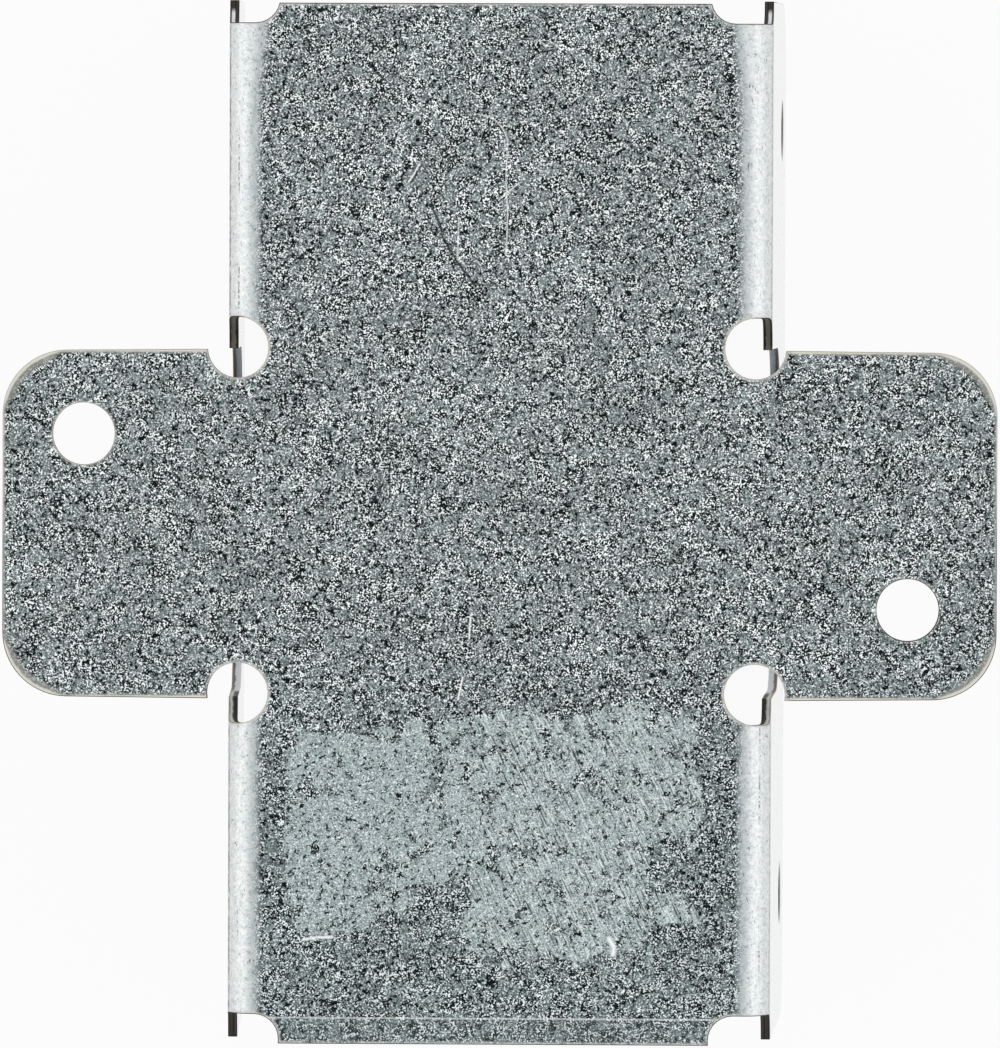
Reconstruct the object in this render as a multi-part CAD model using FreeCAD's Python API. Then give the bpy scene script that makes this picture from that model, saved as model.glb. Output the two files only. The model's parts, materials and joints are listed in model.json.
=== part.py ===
"""Tie connector: one blank of galvanised sheet folded into a deep channel.

The cross plate lies on top and faces +Z.  Its two long sides fold down into tall
flanges that grip a timber, and the two side arms, cut free from the flanges, stay flat
in the plane of the plate.  The part stands on the far edges of its flanges at z = 0.
"""

import FreeCAD, Part
import math
import os

from FreeCAD import Vector

# Driving dimensions, in millimetres and degrees
SHEET = 1.6                   # thickness of the galvanised sheet
INSIDE_WIDTH = 90.5           # clear width between the flanges at the fold
PLATE_LENGTH = 179.5          # along the folds
FLANGE_STAGGER = 0.5          # the flanges' ends lie this far towards +Y of the plate's
FOLD_RADIUS = 3.2             # inside radius of the folds
FLANGE_HEIGHT = 66.7          # top of the plate down to the flanges' far edges
FLANGE_SPLAY = 1.9            # each flange springs open from square by this angle
FLANGE_CORNER_RADIUS = 11.0   # rounding of the flanges' far corners
ARM_SPAN = 171.35             # from arm tip to arm tip
ARM_ROOT_WIDTH = 60.4         # width of an arm at the fold line
ARM_TIP_WIDTH = 59.6          # width of an arm at its tip
ARM_CORNER_RADIUS = 11.1      # rounding of the arms' tips
BOLT_HOLE = 10.7              # diameter of the bolt holes in the arms and flanges
ARM_HOLE_TIP_INSET = 14.65    # from the arm's tip to its hole
ARM_HOLE_SIDE_INSET = 15.0    # from the arm's side to its hole
FLANGE_HOLE_END_INSET = 22.4  # from the plate's end to a flange's hole
FLANGE_HOLE_EDGE_INSET = 15.9  # from a flange's far edge to its hole
HOLE_SHIFT_X = -0.67          # the bolt holes sit this far off the plate's centre
HOLE_SHIFT_Y = 0.55
RELIEF = 10.5                 # diameter of the round reliefs beside the arms
RELIEF_INSET = 2.27           # from the outside of the fold in to a relief's centre
RELIEF_SPACING = 59.6         # between the reliefs' centres along a fold
RELIEF_DROP = 2.0             # depth at which a relief starts to round into the flange
RELIEF_SHIFT_X = -0.52        # the reliefs sit this far off the plate's centre
RELIEF_SHIFT_Y = 0.64
NOTCH = 8.5                   # diameter of the corner notches' rounding
NOTCH_DEPTH = 4.25            # mean depth of the corner notches from the plate's end
NOTCH_DROP = 3.6              # depth at which a notch starts to round into the flange
NOTCH_SHIFT_X = -0.85         # the corner notches sit this far off the plate's centre
NOTCH_SHIFT_Y = 0.85
TONGUE_WIDTH = 74.2           # plate width left between the corner notches
NEUTRAL_SHARE = 0.44          # depth of the unstretched layer in a fold, as a share of it
PRESS_MARK_DEPTH = 0.12       # pressed strip along one end of the plate
PRESS_MARK_RAMP = 0.35        # width of the slope down to that strip
PRESS_MARK_INSET = 4.6        # from the plate's end to the top of the slope

# Sizes that follow
OUTER_FOLD_RADIUS = FOLD_RADIUS + SHEET
HALF_LENGTH = PLATE_LENGTH / 2
PLATE_Y = -FLANGE_STAGGER / 2
FLANGE_Y = FLANGE_STAGGER / 2
HALF_SPAN = ARM_SPAN / 2
FOLD_OUTSIDE = INSIDE_WIDTH / 2 + SHEET
FOLD_START = FOLD_OUTSIDE - OUTER_FOLD_RADIUS
SPLAY = math.radians(FLANGE_SPLAY)
FOLD_ANGLE = math.pi / 2 - SPLAY
FOLD_ALLOWANCE = FOLD_ANGLE * (FOLD_RADIUS + NEUTRAL_SHARE * SHEET)
FLANGE_RUN = (FLANGE_HEIGHT - OUTER_FOLD_RADIUS + FOLD_RADIUS * math.sin(SPLAY)) / math.cos(SPLAY)
WINDOW_RUN = HALF_SPAN - FOLD_START - FOLD_ALLOWANCE
CUT_MARGIN = 2 * SHEET        # how far a cutter passes beyond the face it enters

SIDES = (-1, 1)
ENDS = (-1, 1)


def fold_axis(side):
    """Centre of a fold's arcs, in the plane y = 0."""
    return Vector(side * FOLD_START, 0, FLANGE_HEIGHT - OUTER_FOLD_RADIUS)


def outward(side, angle):
    """Unit vector square to the sheet where the fold has turned by an angle."""
    return Vector(side * math.sin(angle), 0, math.cos(angle))


def flange_point(side, run, y):
    """Point on a flange's outer face, a run below the end of its fold."""
    down = Vector(side * math.sin(SPLAY), 0, -math.cos(SPLAY))
    start = fold_axis(side) + outward(side, FOLD_ANGLE) * OUTER_FOLD_RADIUS
    return start + down * run + Vector(0, y, 0)


def rounded_wire(place, root, tip, root_half, tip_half, radius):
    """Outline of a tab whose two far corners are round.

    place maps (reach, y) to a point, and the tab runs from reach root to reach tip.
    """
    slant = math.atan2(root_half - tip_half, tip - root)
    setback = radius * math.tan((math.pi / 2 + slant) / 2)
    cos_slant, sin_slant = math.cos(slant), math.sin(slant)
    side_reach = tip - setback * cos_slant
    side_half = tip_half + setback * sin_slant
    tip_flat = tip_half - setback
    middle = math.pi / 4 - slant / 2
    bulge = (tip - radius + radius * math.cos(middle), tip_flat + radius * math.sin(middle))
    low, high = [
        [
            place(root, half * root_half),
            place(side_reach, half * side_half),
            place(bulge[0], half * bulge[1]),
            place(tip, half * tip_flat),
        ]
        for half in ENDS
    ]
    return Part.Wire([
        Part.makeLine(low[0], low[1]),
        Part.Arc(*low[1:]).toShape(),
        Part.makeLine(low[3], high[3]),
        Part.Arc(*reversed(high[1:])).toShape(),
        Part.makeLine(high[1], high[0]),
        Part.makeLine(high[0], low[0]),
    ])


def arm_half_width(reach):
    """Half the width of an arm's straight side at a distance from the middle of the plate."""
    share = (reach - FOLD_START) / (HALF_SPAN - FOLD_START)
    return (ARM_ROOT_WIDTH + share * (ARM_TIP_WIDTH - ARM_ROOT_WIDTH)) / 2


def make_plate():
    """The flat middle of the cross plate, between the two folds."""
    corner = Vector(-FOLD_START, PLATE_Y - HALF_LENGTH, FLANGE_HEIGHT - SHEET)
    return Part.makeBox(2 * FOLD_START, PLATE_LENGTH, SHEET, corner)


def make_arm(side):
    """A side arm, flat with the plate, from the fold line to its rounded tip."""
    def place(reach, y):
        return Vector(side * reach, PLATE_Y + y, FLANGE_HEIGHT)
    outline = rounded_wire(
        place, FOLD_START, HALF_SPAN, ARM_ROOT_WIDTH / 2, ARM_TIP_WIDTH / 2, ARM_CORNER_RADIUS,
    )
    return Part.Face(outline).extrude(Vector(0, 0, -SHEET))


def make_fold(side):
    """One quarter bend along the whole plate, less the stretch where the arm stays flat."""
    axis = fold_axis(side) + Vector(0, PLATE_Y - HALF_LENGTH, 0)
    start, middle, end = (outward(side, FOLD_ANGLE * share) for share in (0, 0.5, 1))
    outer = [axis + turn * OUTER_FOLD_RADIUS for turn in (start, middle, end)]
    inner = [axis + turn * FOLD_RADIUS for turn in (end, middle, start)]
    section = Part.Wire([
        Part.Arc(*outer).toShape(),
        Part.makeLine(outer[2], inner[0]),
        Part.Arc(*inner).toShape(),
        Part.makeLine(inner[2], outer[0]),
    ])
    fold = Part.Face(section).extrude(Vector(0, PLATE_LENGTH, 0))
    gap = Part.makeBox(
        2 * OUTER_FOLD_RADIUS, ARM_ROOT_WIDTH, FLANGE_HEIGHT,
        Vector(
            side * (FOLD_START + OUTER_FOLD_RADIUS) - OUTER_FOLD_RADIUS, PLATE_Y - ARM_ROOT_WIDTH / 2, 0,
        ),
    )
    return fold.cut(gap)


def make_flange(side):
    """A tall flange with round far corners, the window the arm left, and two bolt holes."""
    def place_from(middle):
        return lambda run, y: flange_point(side, run, middle + y)
    inward = outward(side, FOLD_ANGLE) * -SHEET
    outline = rounded_wire(
        place_from(FLANGE_Y), 0, FLANGE_RUN, HALF_LENGTH, HALF_LENGTH, FLANGE_CORNER_RADIUS,
    )
    flange = Part.Face(outline).extrude(inward)
    window_outline = rounded_wire(
        place_from(PLATE_Y), -CUT_MARGIN, WINDOW_RUN,
        ARM_ROOT_WIDTH / 2, ARM_TIP_WIDTH / 2, ARM_CORNER_RADIUS,
    )
    cutters = [Part.Face(window_outline).extrude(inward)]
    for end in ENDS:
        y = PLATE_Y + end * (HALF_LENGTH - FLANGE_HOLE_END_INSET) + HOLE_SHIFT_Y
        mouth = flange_point(side, FLANGE_RUN - FLANGE_HOLE_EDGE_INSET, y)
        cutters.append(Part.makeCylinder(BOLT_HOLE / 2, SHEET, mouth, inward))
    return flange.cut(cutters)


def fold_slot(side, x, y, width, drop):
    """Part of a relief or notch that crosses a fold and rounds out in the flange below."""
    floor = FLANGE_HEIGHT - drop
    reach = FOLD_OUTSIDE + CUT_MARGIN - side * x
    left = x if side > 0 else x - reach
    return Part.makeCylinder(width / 2, reach, Vector(left, y, floor), Vector(1, 0, 0)).fuse(
        Part.makeBox(reach, width, drop + CUT_MARGIN, Vector(left, y - width / 2, floor)),
    )


def plate_hole(diameter, x, y):
    """Cutter for a hole punched down through the plate."""
    base = Vector(x, y, FLANGE_HEIGHT - RELIEF_DROP)
    return Part.makeCylinder(diameter / 2, RELIEF_DROP + CUT_MARGIN, base)


def relief_cutters(side, end):
    """Cutters for the round relief beside an arm."""
    x = side * (FOLD_OUTSIDE - RELIEF_INSET) + RELIEF_SHIFT_X
    y = PLATE_Y + end * RELIEF_SPACING / 2 + RELIEF_SHIFT_Y
    return fold_slot(side, x, y, RELIEF, RELIEF_DROP), plate_hole(RELIEF, x, y)


def notch_cutters(side, end):
    """Cutters for the notch at a corner of the plate, which is open past the plate's end."""
    radius = NOTCH / 2
    x = side * (TONGUE_WIDTH / 2 + radius) + NOTCH_SHIFT_X
    y = PLATE_Y + end * (HALF_LENGTH - NOTCH_DEPTH + radius) + NOTCH_SHIFT_Y
    mouth = Part.makeBox(
        NOTCH, NOTCH, SHEET + 2 * CUT_MARGIN,
        Vector(x - radius, y if end > 0 else y - NOTCH, FLANGE_HEIGHT - SHEET - CUT_MARGIN),
    )
    return fold_slot(side, x, y, NOTCH, NOTCH_DROP), plate_hole(NOTCH, x, y).fuse(mouth)


def press_mark():
    """Cutter for the shallow strip pressed along the -Y end of the plate."""
    top = FLANGE_HEIGHT
    crease = PLATE_Y - HALF_LENGTH + PRESS_MARK_INSET
    beyond = PLATE_Y - HALF_LENGTH - CUT_MARGIN
    floor = top - PRESS_MARK_DEPTH
    profile = Part.makePolygon([
        Vector(-FOLD_START, crease, top),
        Vector(-FOLD_START, crease - PRESS_MARK_RAMP, floor),
        Vector(-FOLD_START, beyond, floor),
        Vector(-FOLD_START, beyond, top),
        Vector(-FOLD_START, crease, top),
    ])
    return Part.Face(profile).extrude(Vector(2 * FOLD_START, 0, 0))


def make_folded_sheet():
    """The whole connector as one solid."""
    folded = make_plate().fuse([make(side) for side in SIDES for make in (make_fold, make_flange)])
    cutters = [
        make(side, end) for side in SIDES for end in ENDS for make in (relief_cutters, notch_cutters)
    ]
    folded = folded.cut([slot for slot, _ in cutters])
    folded = folded.fuse([make_arm(side) for side in SIDES])
    holes = [hole for _, hole in cutters]
    for side in SIDES:
        x = side * (HALF_SPAN - ARM_HOLE_TIP_INSET) + HOLE_SHIFT_X
        y = PLATE_Y + HOLE_SHIFT_Y - side * (arm_half_width(abs(x)) - ARM_HOLE_SIDE_INSET)
        holes.append(plate_hole(BOLT_HOLE, x, y))
    return folded.cut(holes + [press_mark()]).removeSplitter()


def main():
    os.makedirs("parts", exist_ok=True)
    sheet = make_folded_sheet()
    solid = sheet.Solids[0]
    print("solids", len(sheet.Solids), "valid", solid.isValid(), "volume", round(solid.Volume, 1))
    box = solid.BoundBox
    print("box", [round(v, 3) for v in (box.XMin, box.XMax, box.YMin, box.YMax, box.ZMin, box.ZMax)])
    solid.exportStep("parts/folded_sheet.step")


main()
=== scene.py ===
"""Studio scene of a tie connector folded from one blank of galvanised sheet.

The sheet is drawn as a flat blank, given its thickness and rolled edges while it is
still flat, and then folded round the same lines as the solid that it stands for.
"""

from __future__ import annotations

import json
import logging
import math
from dataclasses import dataclass
from enum import Enum
from functools import reduce
from typing import Any

import bmesh
import bpy
from mathutils import Matrix, Vector

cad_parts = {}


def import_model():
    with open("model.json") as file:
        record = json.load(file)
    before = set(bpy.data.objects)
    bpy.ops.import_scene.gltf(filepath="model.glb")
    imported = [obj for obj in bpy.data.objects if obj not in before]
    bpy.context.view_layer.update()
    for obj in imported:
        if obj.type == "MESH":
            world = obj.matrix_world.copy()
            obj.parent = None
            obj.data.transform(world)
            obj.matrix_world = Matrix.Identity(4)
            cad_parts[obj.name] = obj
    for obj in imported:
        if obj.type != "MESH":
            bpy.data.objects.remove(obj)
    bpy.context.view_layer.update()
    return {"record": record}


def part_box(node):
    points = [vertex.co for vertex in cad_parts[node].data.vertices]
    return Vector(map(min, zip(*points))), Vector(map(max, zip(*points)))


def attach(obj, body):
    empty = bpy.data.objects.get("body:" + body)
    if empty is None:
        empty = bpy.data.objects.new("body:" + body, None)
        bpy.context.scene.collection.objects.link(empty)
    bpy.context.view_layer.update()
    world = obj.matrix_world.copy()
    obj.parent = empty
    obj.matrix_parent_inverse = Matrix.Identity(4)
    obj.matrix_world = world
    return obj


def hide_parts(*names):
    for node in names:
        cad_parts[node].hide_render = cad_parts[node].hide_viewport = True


LOG = logging.getLogger("tie_connector")
MM = 0.001
# Points closer than these are one point: on a panel, and where panels meet at a fold.
SNAP = 0.0001 * MM
SEAM = 0.001 * MM
NOISE_MIDDLE = 0.5
WHITE = (1.0, 1.0, 1.0, 1.0)
SHEET_NODE = "folded_sheet"
Colour = tuple[float, float, float]
Stops = tuple[tuple[float, Colour], ...]
Span = tuple[float, float]
Point = tuple[float, float]
Triple = tuple[float, float, float]
Socket = bpy.types.NodeSocket
Blank = bmesh.types.BMesh
Faces = list[bmesh.types.BMFace]


class Panel(Enum):
    """Which part of the blank a point belongs to, as stored on its vertices."""

    PLATE = 0.0
    RIGHT_FLANGE = 1.0
    LEFT_FLANGE = -1.0


class Skin(Enum):
    """Material slots of the folded sheet."""

    ZINC = 0
    CUT_EDGE = 1


@dataclass(frozen=True)
class SheetSizes:
    """Sizes of the folded sheet in metres: the first ones are read from the frame."""

    half_span: float
    half_box: float
    height: float
    thickness: float
    bolt_radius: float
    splay: float
    arm_holes: tuple[Point, ...]
    flange_holes: tuple[Triple, ...]
    inside_width: float = 90.5 * MM
    fold_radius: float = 3.2 * MM
    flange_corner: float = 11.0 * MM
    stagger: float = 0.5 * MM
    arm_root_half: float = 30.2 * MM
    arm_tip_half: float = 29.8 * MM
    arm_corner: float = 11.1 * MM
    relief_radius: float = 5.25 * MM
    relief_inset: float = 2.27 * MM
    relief_half_spacing: float = 29.8 * MM
    relief_drop: float = 2.0 * MM
    relief_shift: Point = (-0.52 * MM, 0.64 * MM)
    notch_radius: float = 4.25 * MM
    notch_depth: float = 4.25 * MM
    notch_drop: float = 3.6 * MM
    notch_shift: Point = (-0.85 * MM, 0.85 * MM)
    tongue_half: float = 37.1 * MM
    neutral_share: float = 0.44
    press_mark_inset: float = 4.6 * MM
    press_mark_ramp: float = 0.35 * MM
    press_mark_depth: float = 0.12 * MM

    @classmethod
    def from_frame(cls, record: dict[str, Any], box: tuple[Vector, Vector]) -> SheetSizes:
        """Reads what the frame already says about the sheet.

        Args:
            record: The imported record, with its mounts.
            box: Lowest and highest corner of the sheet's node.

        Returns:
            The sizes, with the rest at their own values.
        """
        low, high = (Vector(corner) for corner in box)
        steep = math.cos(math.radians(60))
        bores = [mount for mount in record["mounts"] if mount["kind"] == "bore"]
        arms = [mount for mount in bores if abs(mount["axis"][2]) > steep]
        flanges = [mount for mount in bores if mount not in arms]
        return cls(
            half_span=(high.x - low.x) / 2,
            half_box=(high.y - low.y) / 2,
            height=high.z - low.z,
            thickness=bores[0]["dims"]["length_mm"] * MM,
            bolt_radius=bores[0]["dims"]["r_mm"] * MM,
            splay=math.asin(flanges[0]["axis"][2]),
            arm_holes=tuple((mount["pos_m"][0], mount["pos_m"][1]) for mount in arms),
            flange_holes=tuple(tuple(mount["pos_m"]) for mount in flanges),
        )

    @property
    def half_length(self) -> float:
        """Half the length of the plate, and of each flange."""
        return self.half_box - self.stagger / 2

    @property
    def plate_middle(self) -> float:
        """Place of the plate's middle along Y; the flanges lie a stagger further on."""
        return -self.stagger / 2

    @property
    def press_crease(self) -> float:
        """Place along Y of the crease over the pressed strip."""
        return self.plate_middle - self.half_length + self.press_mark_inset

    @property
    def outer_fold_radius(self) -> float:
        """Radius of the folds' outer skin."""
        return self.fold_radius + self.thickness

    @property
    def fold_start(self) -> float:
        """Distance from the middle of the plate to the line where a fold begins."""
        return self.inside_width / 2 + self.thickness - self.outer_fold_radius

    @property
    def fold_angle(self) -> float:
        """Angle that the sheet turns through at each fold."""
        return math.pi / 2 - self.splay

    @property
    def fold_length(self) -> float:
        """Length of a fold along its outer skin."""
        return self.fold_angle * self.outer_fold_radius

    @property
    def flange_reach(self) -> float:
        """Flat distance from the plate's middle to a flange's far edge."""
        drop = self.height - self.outer_fold_radius + self.fold_radius * math.sin(self.splay)
        return self.fold_start + self.fold_length + drop / math.cos(self.splay)

    @property
    def window_reach(self) -> float:
        """Flat distance from the plate's middle to the far edge of a flange's window."""
        neutral = self.fold_radius + self.neutral_share * self.thickness
        return self.half_span + self.fold_length - self.fold_angle * neutral

    @property
    def arm_slant(self) -> float:
        """Angle by which each side of an arm widens towards its root."""
        widening = self.arm_root_half - self.arm_tip_half
        return math.atan2(widening, self.half_span - self.fold_start)

    def arm_half_at(self, reach: float) -> float:
        """Half the width of an arm, or of a window, at a reach."""
        return self.arm_root_half - (reach - self.fold_start) * math.tan(self.arm_slant)

    def reach_at_plan(self, plan: float) -> float:
        """Flat distance of the outer skin's point that lies at a distance in plan."""
        turn = math.asin(max(0.0, plan - self.fold_start) / self.outer_fold_radius)
        return min(plan, self.fold_start) + turn * self.outer_fold_radius

    def reach_at_drop(self, drop: float) -> float:
        """Flat distance of the outer skin's point that lies a drop below the plate."""
        turn = math.acos(1 - drop / self.outer_fold_radius)
        return self.fold_start + turn * self.outer_fold_radius

    def reach_at_height(self, height: float) -> float:
        """Finds a point in the middle of a flange's thickness on the flat blank.

        Args:
            height: The point's height on the folded sheet.

        Returns:
            Its flat distance from the plate's middle.
        """
        middle = self.fold_radius + self.thickness / 2
        start = self.height - self.outer_fold_radius + middle * math.cos(self.fold_angle)
        return self.fold_start + self.fold_length + (start - height) / math.cos(self.splay)

    def fold(self, point: Vector, side: float) -> Vector:
        """Folds one point of the flat blank about its side's fold line.

        Args:
            point: Place on the flat blank, with the outer skin at z = 0.
            side: 1 for the right flange and -1 for the left one.

        Returns:
            The point's place on the folded sheet, with the plate's top at z = 0.
        """
        past = side * point.x - self.fold_start
        if past <= 0:
            return point.copy()
        turn = min(past / self.outer_fold_radius, self.fold_angle)
        run = max(0.0, past - self.fold_length)
        radius = self.outer_fold_radius + point.z
        reach = self.fold_start + radius * math.sin(turn) + run * math.cos(turn)
        drop = radius * math.cos(turn) - self.outer_fold_radius - run * math.sin(turn)
        return Vector((side * reach, point.y, drop))


class OutlinePen:
    """Draws a chain of edges on the flat blank, seen from one side and one end of it."""

    ARC_PIECE = 1.0 * MM

    def __init__(self, bm: Blank, side: int, end: int, middle: float, panel: Panel) -> None:
        """Puts the pen over a quarter of the blank.

        Args:
            bm: The blank that is drawn on.
            side: 1 to draw on the +X half, and -1 on the -X half.
            end: 1 to draw on the +Y half, and -1 on the -Y half.
            middle: Place along Y that the pen measures from.
            panel: What the drawn points belong to.
        """
        self.bm = bm
        self.side = side
        self.end = end
        self.middle = middle
        self.panel = panel
        self.layer = bm.verts.layers.float["panel"]
        self.vert: bmesh.types.BMVert | None = None

    def place(self, reach: float, y: float) -> Vector:
        """Point of the pen's quarter at a reach and a distance along the fold."""
        return Vector((self.side * reach, self.middle + self.end * y, 0.0))

    def start(self, reach: float, y: float) -> None:
        """Sets the pen down."""
        self.vert = self.bm.verts.new(self.place(reach, y))
        self.vert[self.layer] = self.panel.value

    def line_to(self, reach: float, y: float) -> None:
        """Draws a straight edge.

        Args:
            reach: The far end's distance from the middle of the plate.
            y: The far end's distance from the middle along the fold.
        """
        made = bmesh.ops.extrude_vert_indiv(self.bm, verts=[self.vert])
        self.vert = made["verts"][0]
        self.vert.co = self.place(reach, y)

    def arc_about(self, reach: float, y: float, sweep: float) -> None:
        """Draws an arc round a centre.

        Args:
            reach: The centre's distance from the middle of the plate.
            y: The centre's distance from the middle along the fold.
            sweep: Angle to turn through, anticlockwise in the +X and +Y quarter.
        """
        centre = self.place(reach, y)
        length = abs(sweep) * (self.vert.co - centre).length
        made = bmesh.ops.spin(
            self.bm, geom=[self.vert], cent=centre, axis=(0, 0, 1),
            angle=sweep * self.side * self.end, steps=max(2, round(length / self.ARC_PIECE)),
        )
        last = made["geom_last"]
        self.vert = next(item for item in last if isinstance(item, bmesh.types.BMVert))

    def tab_tip(self, tip: float, tip_half: float, slant: float, radius: float) -> None:
        """Draws half a tab's tip: its end and its round corner, up to the start of its side.

        Args:
            tip: Reach of the tab's end.
            tip_half: Half the width of the tab at its end, without the rounding.
            slant: Angle by which the tab widens from its tip on each side.
            radius: Radius of the corner.
        """
        setback = radius * math.tan((math.pi / 2 - slant) / 2)
        self.start(tip, 0.0)
        self.line_to(tip, tip_half - setback)
        self.arc_about(tip - radius, tip_half - setback, math.pi / 2 - slant)


@dataclass(frozen=True)
class Cutout:
    """A round punch that cuts through a fold, as seen from above in its own quarter."""

    plan: float
    y: float
    radius: float

    def fold_line_angle(self, fold_start: float) -> float:
        """Angle round the centre at which the edge meets the line of the fold."""
        return math.acos(min(0.0, fold_start - self.plan) / self.radius)

    def draw_over_fold(
        self, pen: OutlinePen, sizes: SheetSizes, start: float, finish: float,
    ) -> None:
        """Draws an arc that is round from above, although the sheet bends away under it.

        Args:
            pen: The pen, which stands at the arc's start.
            sizes: The sheet's sizes.
            start: Angle of the arc's first point.
            finish: Angle of its last point.
        """
        steps = max(2, round(abs(finish - start) * self.radius / pen.ARC_PIECE))
        for step in range(1, steps + 1):
            angle = start + (finish - start) * step / steps
            plan = self.plan + self.radius * math.cos(angle)
            pen.line_to(sizes.reach_at_plan(plan), self.y + self.radius * math.sin(angle))


@dataclass
class FoldedSheet:
    """The whole connector: a cross plate, two flat arms and two folded flanges.

    The last four shares say how far a face's normal points up or down, for telling the
    skins from the cut edges while the blank is flat.
    """

    sizes: SheetSizes
    rim_width: float = 0.8 * MM
    rim_roll: float = 0.14 * MM
    burr: float = 0.06 * MM
    roll_segments: int = 3
    fold_segments: int = 22
    hole_segments: int = 72
    flat_turn: float = 0.001
    sharp_angle: float = math.radians(40)
    panel_share: float = 0.5
    upright_share: float = 0.1
    facing_share: float = 0.9
    cut_share: float = 0.98
    flat_share: float = 0.999

    def relief(self, side: int, end: int) -> Cutout:
        """Places the round relief beside an arm, in its own quarter.

        Args:
            side: Half of the blank, by the sign of X.
            end: Half of the blank, by the sign of Y.

        Returns:
            The relief.
        """
        s = self.sizes
        plan = s.inside_width / 2 + s.thickness - s.relief_inset + side * s.relief_shift[0]
        return Cutout(plan, s.relief_half_spacing + end * s.relief_shift[1], s.relief_radius)

    def notch(self, side: int, end: int) -> Cutout:
        """Places the rounding of the notch at a corner of the plate, in its own quarter.

        Args:
            side: Half of the blank, by the sign of X.
            end: Half of the blank, by the sign of Y.

        Returns:
            The notch.
        """
        s = self.sizes
        plan = s.tongue_half + s.notch_radius + side * s.notch_shift[0]
        y = s.half_length - s.notch_depth + s.notch_radius + end * s.notch_shift[1]
        return Cutout(plan, y, s.notch_radius)

    def draw_plate_quarter(self, bm: Blank, side: int, end: int) -> None:
        """Draws a quarter of the flat outline: arm, relief, fold line, notch and tongue.

        Args:
            bm: The blank that is drawn on.
            side: Half of the blank, by the sign of X.
            end: Half of the blank, by the sign of Y.
        """
        s = self.sizes
        pen = OutlinePen(bm, side, end, s.plate_middle, Panel.PLATE)
        pen.tab_tip(s.half_span, s.arm_tip_half, s.arm_slant, s.arm_corner)

        relief = self.relief(side, end)
        root_half = s.arm_half_at(relief.plan + relief.radius)
        entry = math.asin((root_half - relief.y) / relief.radius)
        leave = relief.fold_line_angle(s.fold_start)
        pen.line_to(relief.plan + relief.radius * math.cos(entry), root_half)
        pen.arc_about(relief.plan, relief.y, leave - entry - 2 * math.pi)

        notch = self.notch(side, end)
        meet = -notch.fold_line_angle(s.fold_start)
        pen.line_to(s.fold_start, notch.y + notch.radius * math.sin(meet))
        if notch.plan < s.fold_start:
            pen.line_to(notch.plan, notch.y - notch.radius)
        past_end = max(0.0, notch.y - s.half_length)
        pen.arc_about(notch.plan, notch.y, math.asin(past_end / notch.radius) - math.pi - meet)
        if notch.y < s.half_length:
            pen.line_to(notch.plan - notch.radius, s.half_length)
        pen.line_to(0.0, s.half_length)

    def draw_flange_half(self, bm: Blank, side: int, end: int, panel: Panel) -> None:
        """Draws half a flange's flat outline: window, relief, fold line, notch and far edge.

        Args:
            bm: The blank that is drawn on.
            side: Half of the blank, by the sign of X.
            end: Half of the blank, by the sign of Y.
            panel: The flange.
        """
        s = self.sizes
        pen = OutlinePen(bm, side, end, s.plate_middle, panel)
        pen.tab_tip(s.window_reach, s.arm_tip_half, s.arm_slant, s.arm_corner)

        relief = self.relief(side, end)
        deep = s.reach_at_drop(s.relief_drop)
        root_half = s.arm_half_at(deep + relief.radius)
        entry = math.asin((root_half - relief.y) / relief.radius)
        pen.line_to(deep + relief.radius * math.cos(entry), root_half)
        pen.arc_about(deep, relief.y, math.pi / 2 - entry)
        pen.line_to(s.reach_at_plan(relief.plan), relief.y + relief.radius)
        relief.draw_over_fold(pen, s, math.pi / 2, relief.fold_line_angle(s.fold_start))

        notch = self.notch(side, end)
        meet = -notch.fold_line_angle(s.fold_start)
        pen.line_to(s.fold_start, notch.y + notch.radius * math.sin(meet))
        if notch.plan > s.fold_start:
            notch.draw_over_fold(pen, s, meet, -math.pi / 2)
        deep = s.reach_at_drop(s.notch_drop)
        flange_end = s.half_length + end * s.stagger
        past_end = math.asin((notch.y - flange_end) / notch.radius)
        pen.line_to(deep, notch.y - notch.radius)
        pen.arc_about(deep, notch.y, math.pi / 2 - past_end)
        corner = s.flange_reach - s.flange_corner
        pen.line_to(corner, flange_end)
        pen.arc_about(corner, flange_end - s.flange_corner, -math.pi / 2)
        pen.line_to(s.flange_reach, 0.0)

    def punch(self, bm: Blank, x: float, y: float, panel: Panel) -> None:
        """Draws a round bolt hole on the blank.

        Args:
            bm: The blank that is drawn on.
            x: The hole's place along X on the flat blank.
            y: The hole's place along the fold.
            panel: What the hole is punched in.
        """
        made = bmesh.ops.create_circle(
            bm, cap_ends=False, radius=self.sizes.bolt_radius, segments=self.hole_segments,
            matrix=Matrix.Translation((x, y, 0.0)),
        )
        layer = bm.verts.layers.float["panel"]
        for vert in made["verts"]:
            vert[layer] = panel.value

    @staticmethod
    def parts_of(
        faces: Faces,
    ) -> tuple[list[bmesh.types.BMEdge], list[bmesh.types.BMVert]]:
        """Edges and vertices of some faces, each named once."""
        edges = dict.fromkeys(edge for face in faces for edge in face.edges)
        return list(edges), list(dict.fromkeys(vert for face in faces for vert in face.verts))

    def fill(self, bm: Blank) -> None:
        """Turns the outline drawn last, which has no faces yet, into flat faces.

        Args:
            bm: The blank.
        """
        loose = [vert for vert in bm.verts if vert.is_wire]
        bmesh.ops.remove_doubles(bm, verts=loose, dist=SNAP)
        outline = [edge for edge in bm.edges if edge.is_wire]
        made = bmesh.ops.triangle_fill(bm, use_beauty=True, edges=outline, normal=(0, 0, 1))
        faces = [item for item in made["geom"] if isinstance(item, bmesh.types.BMFace)]
        edges, verts = self.parts_of(faces)
        bmesh.ops.dissolve_limit(bm, angle_limit=self.flat_turn, verts=verts, edges=edges)

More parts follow.
